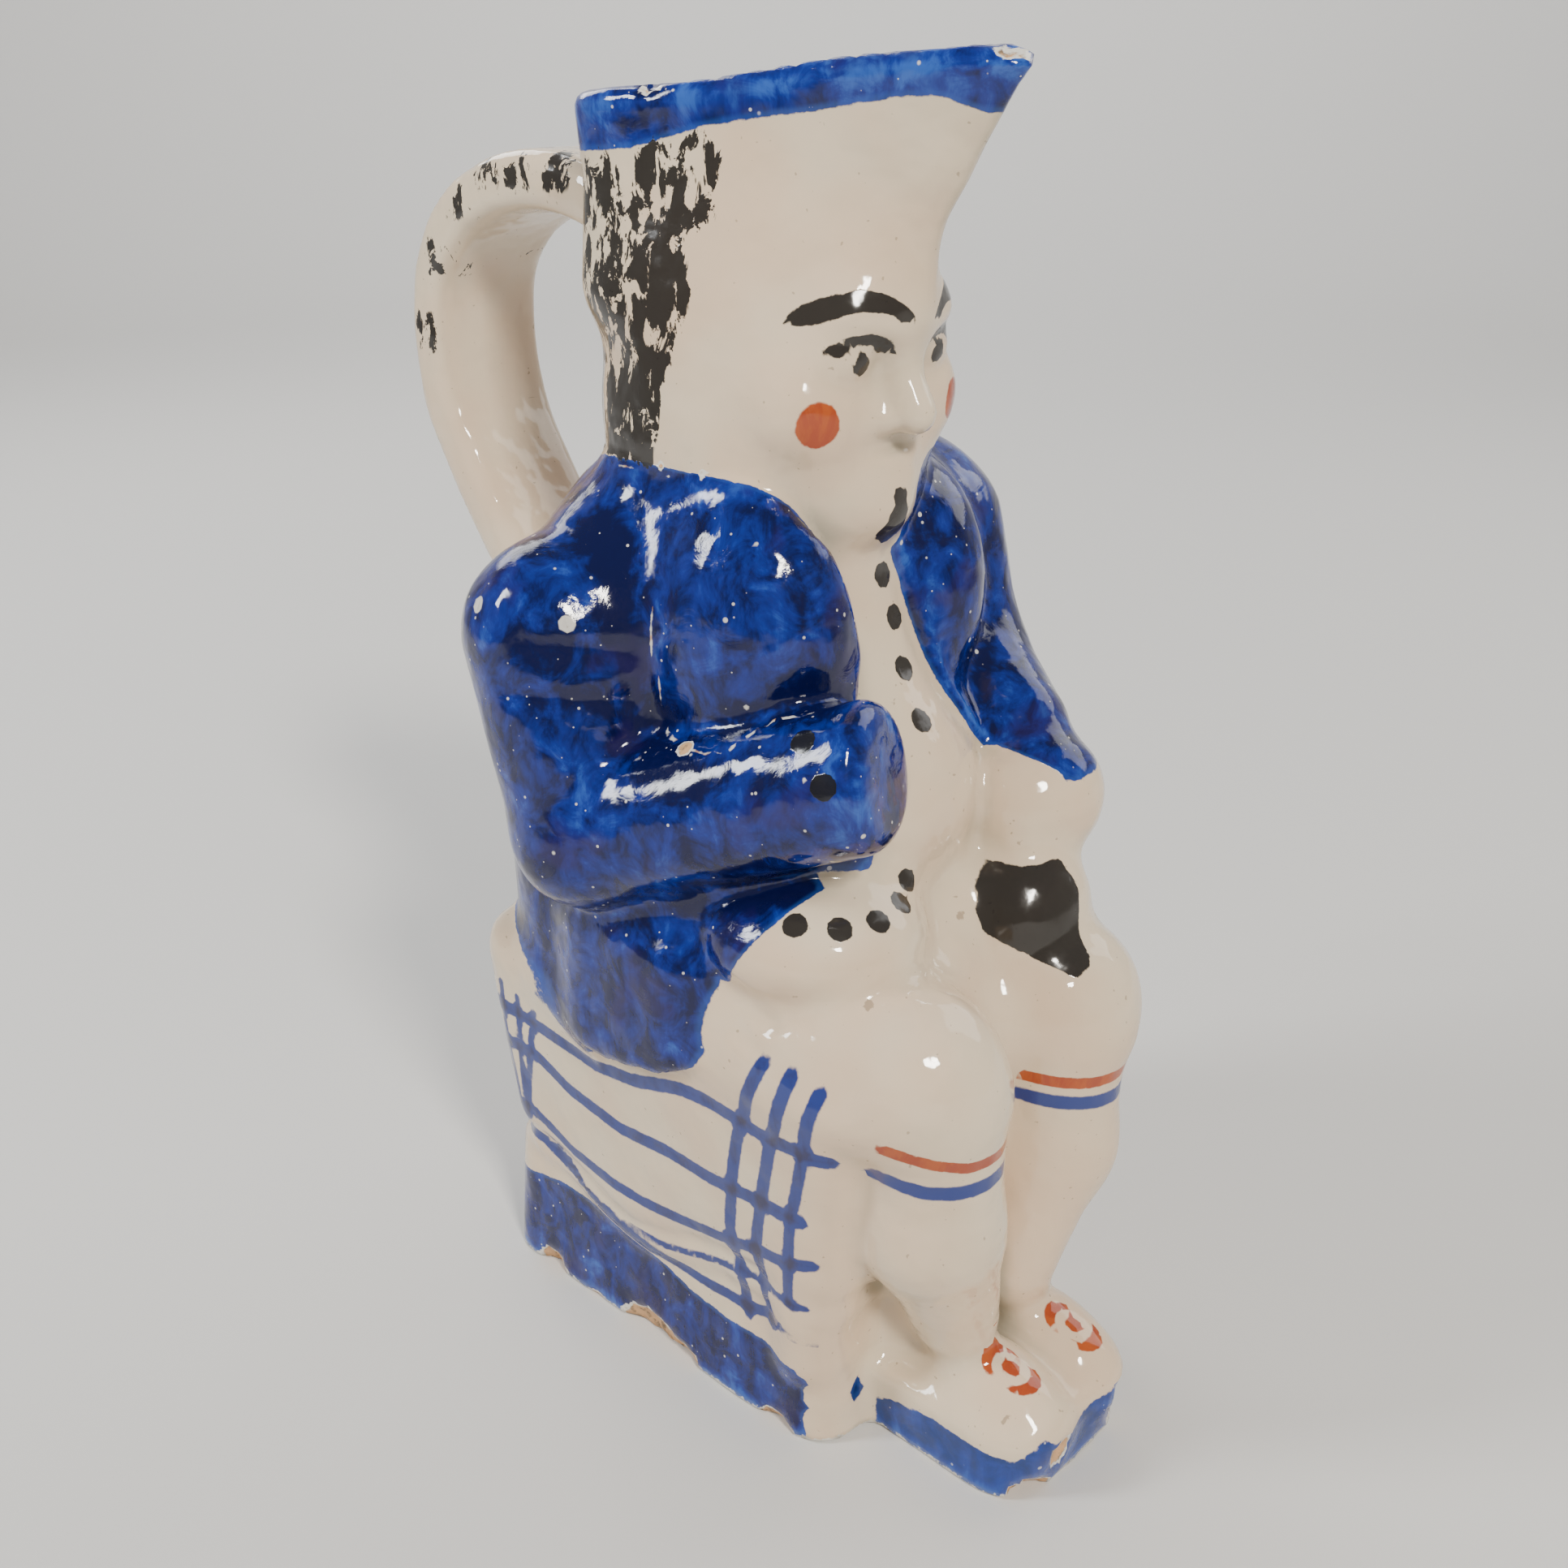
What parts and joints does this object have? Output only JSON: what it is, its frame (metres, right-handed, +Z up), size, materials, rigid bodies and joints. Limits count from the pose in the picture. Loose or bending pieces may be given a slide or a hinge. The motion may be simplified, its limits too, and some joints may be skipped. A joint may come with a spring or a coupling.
{
  "type": "toby jug",
  "caption": "Glazed earthenware toby jug: a seated figure whose cocked hat forms the mouth and spout, with a strap handle behind.",
  "frame": {"origin": "on the flat underside, below the middle of the seat", "axes": "+Z up; the figure faces -Y, so the spout is at -Y and the handle at +Y; its right hand is on the -X side"},
  "size_m": [0.1313, 0.2118, 0.3],
  "materials": {
    "glaze": "gloss"
  },
  "bodies": {
    "root": {"jug": "glaze"}
  },
  "joints": []
}
